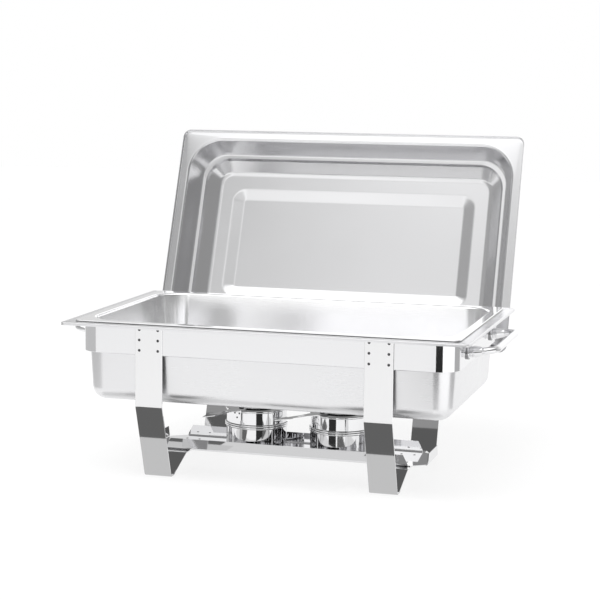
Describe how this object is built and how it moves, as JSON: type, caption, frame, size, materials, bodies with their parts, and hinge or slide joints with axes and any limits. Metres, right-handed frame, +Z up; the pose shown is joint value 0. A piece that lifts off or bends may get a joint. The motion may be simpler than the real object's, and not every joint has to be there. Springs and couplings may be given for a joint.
{
  "type": "chafing dish",
  "caption": "Rectangular steel buffet food warmer: a frame on bent strip legs holds a water pan and food pan over fuel burners, with its lid standing on edge at the back.",
  "frame": {"origin": "middle of the whole set's outline, on the floor, with the lid standing at the back", "axes": "+X to the right along the pans' length, +Y from the front to the lid at the back, +Z up"},
  "size_m": [0.604, 0.4985, 0.4572],
  "materials": {
    "satin_steel": "satin stainless steel",
    "polished_steel": "bright polished stainless steel",
    "strip_steel": "bright stainless steel strip",
    "chrome_bar": "polished",
    "dark_steel": "dull, darkened by welding or left plain"
  },
  "bodies": {
    "frame": {"frame_band": "satin_steel", "leg_strip_left": "strip_steel", "leg_strip_right": "strip_steel", "spot_welds": "dark_steel", "burner_tray": "polished_steel", "side_handle_left": "chrome_bar", "side_handle_right": "chrome_bar", "side_handle_ferrules": "chrome_bar", "side_handle_washers": "dark_steel", "side_handle_studs": "dark_steel", "lid_holder_left": "strip_steel", "lid_holder_right": "strip_steel"},
    "water_pan": {"water_pan": "satin_steel"},
    "food_pan": {"food_pan": "polished_steel"},
    "lid": {"lid_shell": "satin_steel", "lid_handle": "chrome_bar", "lid_handle_ferrules": "chrome_bar", "lid_handle_washers": "dark_steel", "lid_handle_studs": "dark_steel"},
    "burner_left": {"burner_cup_left": "polished_steel"},
    "burner_right": {"burner_cup_right": "polished_steel"},
    "burner_top_left": {"burner_ring_left": "polished_steel", "regulator_bracket_left": "strip_steel", "bracket_rivets_left": "dark_steel", "regulator_pivot_left": "dark_steel"},
    "burner_top_right": {"burner_ring_right": "polished_steel", "regulator_bracket_right": "strip_steel", "bracket_rivet_right": "dark_steel", "regulator_pivot_right": "dark_steel"},
    "regulator_left": {"regulator_left": "polished_steel"},
    "regulator_right": {"regulator_right": "polished_steel"}
  },
  "joints": [
    {"name": "water_pan_lift", "type": "slide", "parent": "frame", "child": "water_pan", "axis": [0, 0, 1], "range_m": [0, 0.15]},
    {"name": "food_pan_lift", "type": "slide", "parent": "water_pan", "child": "food_pan", "axis": [0, 0, 1], "range_m": [0, 0.12]},
    {"name": "lid_lift", "type": "slide", "parent": "frame", "child": "lid", "axis": [0, 0.3714, 0.9285], "range_m": [0, 0.25]},
    {"name": "burner_lift_left", "type": "slide", "parent": "frame", "child": "burner_left", "axis": [0, 0, 1], "range_m": [0, 0.018]},
    {"name": "burner_top_lift_left", "type": "slide", "parent": "burner_left", "child": "burner_top_left", "axis": [0, 0, 1], "range_m": [0, 0.02]},
    {"name": "regulator_swing_left", "type": "hinge", "parent": "burner_top_left", "child": "regulator_left", "pos_m": [-0.06874, -0.10228, 0.0834], "axis": [0, 0, 1], "range_deg": [0, 60]},
    {"name": "burner_lift_right", "type": "slide", "parent": "frame", "child": "burner_right", "axis": [0, 0, 1], "range_m": [0, 0.018]},
    {"name": "burner_top_lift_right", "type": "slide", "parent": "burner_right", "child": "burner_top_right", "axis": [0, 0, 1], "range_m": [0, 0.02]},
    {"name": "regulator_swing_right", "type": "hinge", "parent": "burner_top_right", "child": "regulator_right", "pos_m": [0.0475, -0.09861, 0.0834], "axis": [0, 0, 1], "range_deg": [0, 60]}
  ]
}
